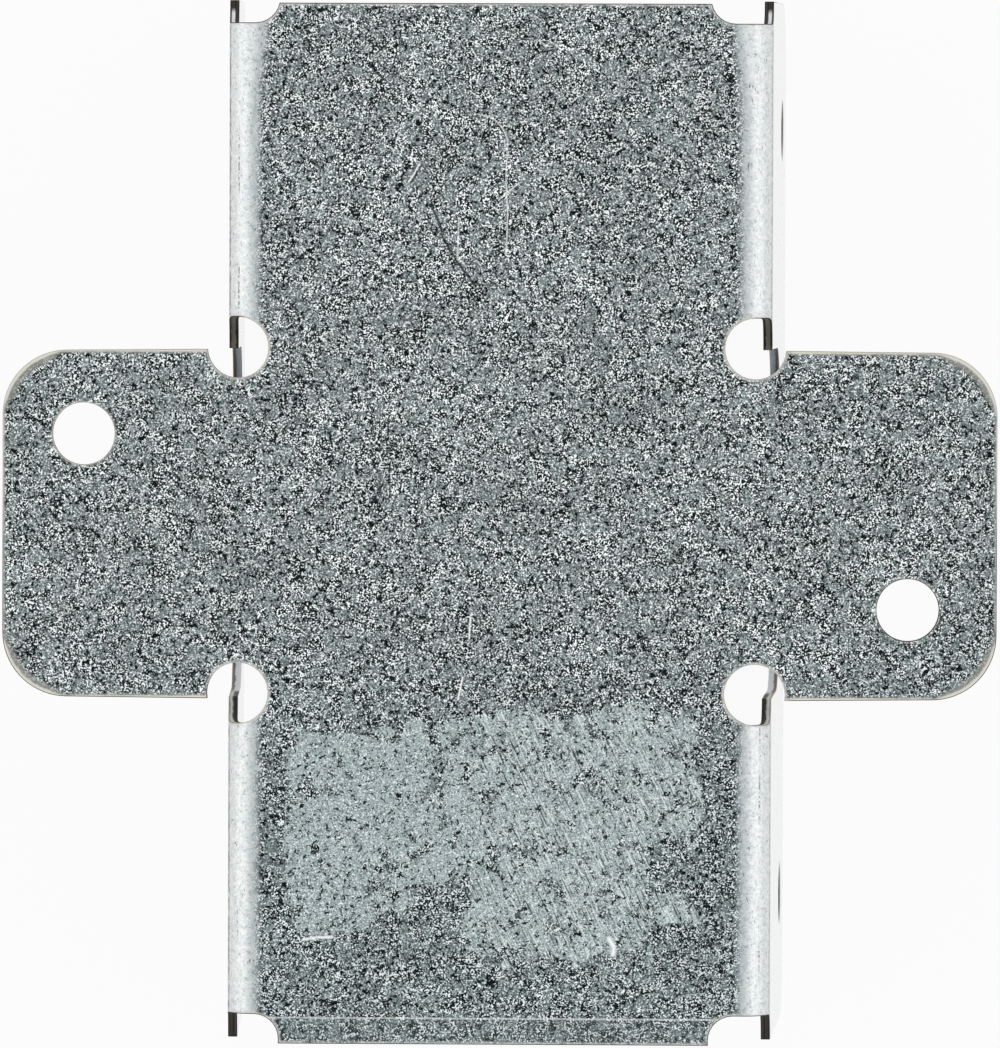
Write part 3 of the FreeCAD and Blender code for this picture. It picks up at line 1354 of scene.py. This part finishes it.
@dataclass(frozen=True)
class RolledEdges:
    """Pale rims of smoother zinc all round the sheet, with a painted highlight, and bands of
    painted shade and highlight along the arms' rolled edges.
    """

    # Rim colour: smoother zinc, lightened as a painted highlight where the edge rolls over.
    rim: Colour = (0.6, 0.6, 0.57)
    rim_edge: Span = (0.15, 1.0)
    rim_zone: Span = (0.2, 0.6)
    rim_strength: float = 0.9
    arm_rim_loss: float = 0.6
    arm_begins: Span = (7.0, 9.0)
    corner: Span = (0.0, 4.0)
    # The first band is painted shade inside the roll, the second a painted highlight along its
    # crown.
    bands: tuple[RollBand, ...] = (
        RollBand((0.3, 0.305, 0.285), 1.1, 0.5, 0.75),
        RollBand((0.74, 0.72, 0.63), 0.4, 0.35, 0.9),
    )
    inner_blur: float = 0.45
    outer_blur: float = 0.25

    def paint(self, spot: ZincSpot, under: Socket) -> Socket:
        """Paints the rims' highlight, and the arms' rolled edges as bands of painted shade and
        highlight, which widen at the corners.

        Args:
            spot: The place on the sheet.
            under: The finish so far.

        Returns:
            The finish with its edges.
        """
        bench, sizes = spot.bench, spot.sizes
        on_arm = bench.ease(spot.across, *shifted(self.arm_begins, spot.fold_start))
        rim = bench.ease(bench.attribute("rim"), *self.rim_edge)
        patchy = bench.ease(spot.zone, *self.rim_zone)
        pale_rim_share = bench.linear(on_arm, -self.arm_rim_loss, self.rim_strength)
        # Pale rim: smoother zinc with a painted highlight where the edge rolls over.
        colour = bench.paint(under, self.rim, rim, patchy, pale_rim_share)

        radius = sizes.arm_corner / MM
        core = (sizes.half_span / MM - radius, sizes.arm_tip_half / MM - radius, spot.top)
        centred = bench.calc_vector("SUBTRACT", spot.level, (0.0, sizes.plate_middle / MM, 0.0))
        beyond = bench.calc_vector("SUBTRACT", bench.calc_vector("ABSOLUTE", centred), core)
        out = bench.calc_vector("MAXIMUM", beyond, (0.0, 0.0, 0.0))
        reach = bench.calc_vector("LENGTH", out, output="Value")
        out_x, out_y, _ = bench.split(out)
        corner = bench.ease(bench.calc("MINIMUM", out_x, out_y), *self.corner)
        # Bands of painted shade and painted highlight along the arms' rolled edges.
        for band in self.bands:
            uneven = bench.times(spot.zone, band.unevenness)
            width = bench.linear(corner, band.corner_width, uneven)
            inner = radius - self.inner_blur * band.corner_width
            edge = bench.ease(bench.calc("ADD", reach, width), inner, radius + self.outer_blur)
            colour = bench.paint(colour, band.colour, edge, on_arm, spot.on_top, band.strength)
        return colour


@dataclass(frozen=True)
class PressedStrip:
    """Strip along the plate's -Y end: a little darker, with a painted highlight along the crease
    over it.
    """

    tint: Colour = (0.2, 0.24, 0.25)
    tint_edge: Span = (0.0, -0.4)
    tint_strength: float = 0.15
    # Painted highlight along the crease.
    line: Colour = (0.9, 0.92, 0.92)
    line_offset: float = -0.1
    line_edge: Span = (0.24, 0.06)
    line_strength: float = 0.45

    def paint(self, spot: ZincSpot, under: Socket) -> Socket:
        """Tints the strip darker and paints a highlight along its crease.

        Args:
            spot: The place on the sheet.
            under: The finish so far.

        Returns:
            The finish with the strip.
        """
        bench = spot.bench
        crease = spot.sizes.press_crease / MM
        pressed = bench.ease(spot.y, *shifted(self.tint_edge, crease))
        colour = bench.paint(under, self.tint, pressed, spot.on_top, self.tint_strength)
        # Painted highlight along the crease.
        line = bench.ease(bench.gap(spot.y, crease + self.line_offset), *self.line_edge)
        return bench.paint(colour, self.line, line, spot.on_top, self.line_strength)


@dataclass(frozen=True)
class ZincCoat:
    """Finish of the coated faces: speckled zinc with all that has rubbed, scratched or marked it,
    and painted reflection, highlight and shade on its folds, rims and crease.
    """

    sizes: SheetSizes
    speckle: Speckle = Speckle()
    rubbed: RubbedPatch = RubbedPatch()
    dark_scratches: ScratchSet = ScratchSet((0.02, 0.025, 0.025), (
        Scratch(((-12.0, 54.9), (-10.3, 51.5), (-9.9, 49.3), (-7.3, 45.0), (-4.3, 41.0)), 0.42),
        Scratch(((-4.3, 41.0), (-1.5, 41.0), (1.8, 42.6)), 0.3, 0.6),
        Scratch(((-15.3, 58.6), (-13.5, 61.7)), 0.26),
        Scratch(((-5.7, 70.2), (-1.0, 69.4), (0.8, 66.8)), 0.24, 0.7),
    ))
    bright_scratches: ScratchSet = ScratchSet((0.9, 0.92, 0.92), (
        Scratch((
            (-3.7, 70.4), (-1.4, 69.9), (0.3, 68.2), (1.3, 66.0), (1.0, 60.0), (1.3, 53.2),
            (1.1, 46.3),
        ), 0.24, 0.6),
        Scratch(((-0.2, 55.8), (3.2, 58.6)), 0.25, 0.7),
        Scratch(((-7.1, 52.5), (-7.3, 45.5)), 0.25, 0.6),
        Scratch(((-15.7, 58.8), (-14.8, 60.2), (-13.9, 61.9)), 0.25),
        Scratch(((8.5, 55.6), (9.0, 54.0)), 0.3, 0.7),
        Scratch(((-4.9, -16.2), (-5.1, -19.9))),
        Scratch(((-6.2, -26.6), (-7.0, -30.3))),
        Scratch(((-33.6, -72.0), (-31.6, -71.6), (-28.6, -71.5)), 0.42),
        Scratch(((19.2, -71.6), (20.0, -73.0), (19.9, -74.3)), 0.75, 1.0),
    ))
    folds: FoldSkin = FoldSkin()
    edges: RolledEdges = RolledEdges()
    strip: PressedStrip = PressedStrip()
    roughness: float = 0.46
    fold_polish: float = 0.12
    flange_polish: float = 0.18
    flange_depth: Span = (-5.0, -9.0)
    gloss_roughness: float = 0.08

    def make(self) -> bpy.types.Material:
        """Makes the finish.

        Returns:
            The material of the sheet's coated faces.
        """
        material, bench, shader = new_finish("zinc_coat")
        spot = ZincSpot(bench, self.sizes)
        colour = self.rubbed.paint(spot, self.speckle.colour(spot))
        scratch = scratch_group()
        for marks in (self.dark_scratches, self.bright_scratches):
            colour = marks.paint(spot, colour, scratch)
        colour, fold = self.folds.paint(spot, colour)
        colour = self.strip.paint(spot, self.edges.paint(spot, colour))
        flange = bench.ease(spot.z, *shifted(self.flange_depth, spot.top))
        rough = bench.linear(fold, -self.fold_polish, self.roughness)
        bench.feed_named(shader, {
            "Base Color": colour, "Metallic": 1.0,
            "Roughness": bench.linear(flange, -self.flange_polish, rough),
            "Coat Weight": flange, "Coat Roughness": self.gloss_roughness,
        })
        return material


@dataclass(frozen=True)
class SheetCut:
    """Sheared edge of the sheet: brown steel with zinc smeared over part of it, and painted shade
    and highlight on some edges.

    Each row of stops runs through the sheet, from its outer skin at 0 to its inner one at 1.
    """

    sizes: SheetSizes
    steel: Stops = (
        (0.12, (0.02, 0.017, 0.013)), (0.3, (0.15, 0.14, 0.11)),
        (0.6, (0.2, 0.185, 0.145)), (0.78, (0.02, 0.017, 0.014)),
    )
    rolled: Stops = (
        (0.1, (0.42, 0.41, 0.37)), (0.3, (0.82, 0.82, 0.79)),
        (0.45, (0.55, 0.54, 0.49)), (0.58, (0.05, 0.043, 0.036)),
    )
    # Stops across the cut ends next to the folds: dark bands of painted shade and lighter bands of
    # painted highlight.
    corner: Stops = (
        (0.0, (0.01, 0.008, 0.006)), (0.13, (0.03, 0.026, 0.02)), (0.4, (0.048, 0.042, 0.035)),
        (0.62, (0.01, 0.008, 0.007)), (0.8, (0.065, 0.058, 0.053)), (0.97, (0.008, 0.007, 0.006)),
    )
    smear: Stops = (
        (0.1, (0.16, 0.13, 0.1)), (0.3, (0.06, 0.05, 0.045)),
        (0.42, (0.26, 0.29, 0.31)), (0.95, (0.4, 0.44, 0.48)),
    )
    bright_smear: Stops = (
        (0.1, (0.3, 0.26, 0.22)), (0.28, (0.17, 0.15, 0.13)),
        (0.42, (0.8, 0.83, 0.85)), (0.95, (0.9, 0.92, 0.94)),
    )
    # Through a flange hole's wall: a pale band of zinc with a painted reflection at the outer skin,
    # then dark steel deepened by painted shadow.
    bore: Stops = (
        (0.0, (0.75, 0.76, 0.76)), (0.08, (0.7, 0.7, 0.69)),
        (0.12, (0.1, 0.09, 0.08)), (0.3, (0.07, 0.065, 0.06)),
    )
    streak_cell: float = 1.2
    streak_swing: float = 0.4
    rolled_from: Span = (10.0, -10.0)
    rolled_until: Span = (-60.0, -50.0)
    corner_from: Span = (60.0, 75.0)
    glint: Colour = (0.85, 0.87, 0.9)
    glint_depth: float = 0.38
    glint_edge: Span = (0.27, 0.1)
    glint_until: Span = (88.8, 87.6)
    pale_lip: Colour = (0.55, 0.54, 0.48)
    # Painted shade on the lip along the arms' lower sides.
    shaded_lip: Colour = (0.06, 0.05, 0.042)
    shaded_lip_from: Span = (8.0, -8.0)
    shaded_lip_outside: Span = (49.0, 51.0)
    lip_depth: Span = (-0.5, -0.3)
    lip_until: Span = (62.0, 58.0)
    bore_from: Span = (50.0, 55.0)
    flange_below: Span = (50.0, 40.0)
    metallic: float = 0.6
    roughness: float = 0.6

    def lip_colour(self, spot: Spot) -> Socket:
        """Colours the lip of the plate's edge: pale, and darkened with painted shade on the arms'
        lower sides.

        Args:
            spot: The place on the sheet.

        Returns:
            The lip's colour.
        """
        bench = spot.bench
        lower = bench.ease(spot.y, *self.shaded_lip_from)
        outside = bench.ease(spot.across, *self.shaded_lip_outside)
        return bench.paint((*self.pale_lip, 1), self.shaded_lip, lower, outside)

    def plate_colour(
        self, spot: Spot, through: Socket, depth: Socket, rolled: Socket,
    ) -> Socket:
        """Colours the edges of the plate and its arms, with painted shade and highlight across the
        ends next to the folds.

        Args:
            spot: The place on the sheet.
            through: Share of the sheet's thickness.
            depth: The same share, made uneven.
            rolled: 1 where the zinc is rolled over the edge.

        Returns:
            The edges' colour.
        """
        bench = spot.bench
        steel = bench.blend(rolled, bench.ramp(depth, self.steel), bench.ramp(depth, self.rolled))
        shine = bench.ease(bench.gap(through, self.glint_depth), *self.glint_edge)
        before_end = bench.ease(spot.y, *self.glint_until)
        far = bench.ease(spot.y, *self.corner_from)
        # Painted shade and highlight across the ends next to the folds, with the glint near the top
        # ends.
        corner = bench.paint(bench.ramp(through, self.corner), self.glint, shine, before_end, far)
        colour = bench.blend(bench.ease(spot.along, *self.corner_from), steel, corner)
        near_top = bench.ease(spot.z, *shifted(self.lip_depth, spot.top))
        on_lip = bench.times(near_top, bench.ease(spot.along, *self.lip_until))
        return bench.blend(on_lip, colour, self.lip_colour(spot))

    def flange_colour(
        self, spot: Spot, through: Socket, depth: Socket, rolled: Socket,
    ) -> Socket:
        """Colours the edges of the flanges and the insides of their holes, with painted reflection
        and painted shadow in the holes.

        Args:
            spot: The place on the sheet.
            through: Share of the sheet's thickness.
            depth: The same share, made uneven.
            rolled: 1 where the zinc is rolled over the edge.

        Returns:
            The edges' colour.
        """
        bench = spot.bench
        dull, bright = (bench.ramp(depth, stops) for stops in (self.smear, self.bright_smear))
        smeared = bench.blend(rolled, dull, bright)
        outer = bench.ease(spot.along, *self.bore_from)
        # Insides of the holes: painted reflection near the outer skin, painted shadow deeper in.
        return bench.blend(outer, smeared, bench.ramp(through, self.bore))

    def make(self) -> bpy.types.Material:
        """Makes the finish.

        Returns:
            The material of the sheet's cut edges.
        """
        material, bench, shader = new_finish("sheet_cut")
        spot = Spot(bench, self.sizes)
        through = bench.attribute("through")
        streaks = bench.noise(spot.place, self.streak_cell, detail=3.0)
        swing = bench.linear(streaks, self.streak_swing, -NOISE_MIDDLE * self.streak_swing)
        depth = bench.calc("ADD", through, swing)
        begun = bench.ease(spot.y, *self.rolled_from)
        rolled = bench.times(begun, bench.ease(spot.y, *self.rolled_until))
        plate = self.plate_colour(spot, through, depth, rolled)
        flange = self.flange_colour(spot, through, depth, rolled)
        low = bench.ease(spot.z, *self.flange_below)
        bench.feed_named(shader, {
            "Base Color": bench.blend(low, plate, flange), "Metallic": self.metallic,
            "Roughness": self.roughness,
        })
        return material


def seen_directly(bench: NodeBench) -> Socket:
    """Finds the rays that show a surface to the camera, straight or in a shiny face.

    Args:
        bench: Where the nodes are laid out.

    Returns:
        1 for such rays, and 0 for the ones that only carry light.
    """
    rays = bench.add("ShaderNodeLightPath").outputs
    kinds = ("Is Camera Ray", "Is Glossy Ray", "Is Transmission Ray")
    return bench.strongest([rays[kind] for kind in kinds])


@dataclass(frozen=True)
class SoftBox:
    """A square lamp that faces the origin, in metres and watts."""

    name: str
    place: Triple
    size: float = 1.2
    power: float = 1.2

    def hang(self) -> None:
        """Puts the lamp in its place and turns it."""
        data = bpy.data.lights.new(self.name, "AREA")
        data.size = self.size
        data.energy = self.power
        lamp = bpy.data.objects.new(self.name, data)
        lamp.location = self.place
        lamp.rotation_euler = (-Vector(self.place)).to_track_quat("-Z", "Y").to_euler()
        bpy.context.scene.collection.objects.link(lamp)


@dataclass(frozen=True)
class Studio:
    """Camera, floor and light of the photograph, in metres and radians."""

    distance: float = 1.894
    lens: float = 377.8
    view_end: float = 50.0
    lean_x: float = 0.028
    lean_y: float = 0.038
    roll: float = 0.0031
    aim: Point = (0.153 * MM, -0.083 * MM)
    floor_size: float = 6.0
    floor_drop: float = 0.5 * MM
    floor_white: float = 0.85
    floor_glow: float = 0.94
    sky: float = 0.7
    lamps: tuple[SoftBox, ...] = (
        SoftBox("left_box", (-1.3, 0.2, 0.7)), SoftBox("right_box", (1.3, -0.2, 0.7)),
    )

    def place_camera(self, height: float) -> None:
        """Puts the camera above the plate, leaning a little to the right and the top.

        Args:
            height: Height of the plate's face, which the camera looks at.
        """
        target = Vector((*self.aim, height))
        away = Vector((self.lean_x, self.lean_y, 1.0)).normalized()
        right = Vector((0, 1, 0)).cross(away).normalized()
        up = away.cross(right)
        turned_right = right * math.cos(self.roll) + up * math.sin(self.roll)
        turned_up = up * math.cos(self.roll) - right * math.sin(self.roll)
        data = bpy.data.cameras.new("camera")
        data.lens = self.lens
        data.clip_end = self.view_end
        camera = bpy.data.objects.new("camera", data)
        basis = Matrix((turned_right, turned_up, away)).transposed().to_4x4()
        camera.matrix_world = Matrix.Translation(target + away * self.distance) @ basis
        bpy.context.scene.collection.objects.link(camera)
        bpy.context.scene.camera = camera

    def whiten(self) -> bpy.types.Material:
        """Makes the floor's finish: it glows where it is seen, and still takes a shadow.

        Returns:
            The material of the floor.
        """
        material = bpy.data.materials.new("white_floor")
        material.use_nodes = True
        bench = NodeBench(material.node_tree)
        bench.tree.nodes.clear()
        white = (self.floor_white, self.floor_white, self.floor_white, 1)
        matte = bench.add("ShaderNodeBsdfDiffuse", white).outputs["BSDF"]
        glow = bench.add("ShaderNodeEmission").outputs["Emission"]
        share = bench.times(seen_directly(bench), self.floor_glow)
        mix = bench.add("ShaderNodeMixShader", share, matte, glow)
        bench.add("ShaderNodeOutputMaterial", mix.outputs["Shader"])
        return material

    def lay_floor(self) -> None:
        """Lays a white floor that keeps a soft shadow."""
        bm = bmesh.new()
        bmesh.ops.create_grid(bm, x_segments=1, y_segments=1, size=self.floor_size / 2)
        mesh = bpy.data.meshes.new("floor")
        bm.to_mesh(mesh)
        bm.free()
        mesh.materials.append(self.whiten())
        floor = bpy.data.objects.new("floor", mesh)
        floor.location.z = -self.floor_drop
        bpy.context.scene.collection.objects.link(floor)

    def light(self) -> None:
        """Lights the sheet evenly from all round, with a soft box over each side."""
        world = bpy.data.worlds.new("studio")
        world.use_nodes = True
        bench = NodeBench(world.node_tree)
        strength = bench.linear(seen_directly(bench), 1.0 - self.sky, self.sky)
        background = world.node_tree.nodes["Background"]
        bench.feed_named(background, {"Color": WHITE, "Strength": strength})
        bpy.context.scene.world = world
        for lamp in self.lamps:
            lamp.hang()


def main() -> None:
    """Builds the connector and its studio, piece by piece."""
    logging.basicConfig(level=logging.INFO, format="%(name)s: %(message)s")
    bpy.context.scene.view_settings.view_transform = "Standard"
    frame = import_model()
    sizes = SheetSizes.from_frame(frame["record"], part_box(SHEET_NODE))
    connector = FoldedSheet(sizes)
    sheet = connector.build()
    finishes = {Skin.ZINC: ZincCoat(sizes).make(), Skin.CUT_EDGE: SheetCut(sizes).make()}
    connector.dress(sheet, finishes)
    studio = Studio()
    studio.place_camera(sizes.height)
    studio.lay_floor()
    studio.light()
    LOG.info("camera, floor and light placed")


if __name__ == "__main__":
    main()
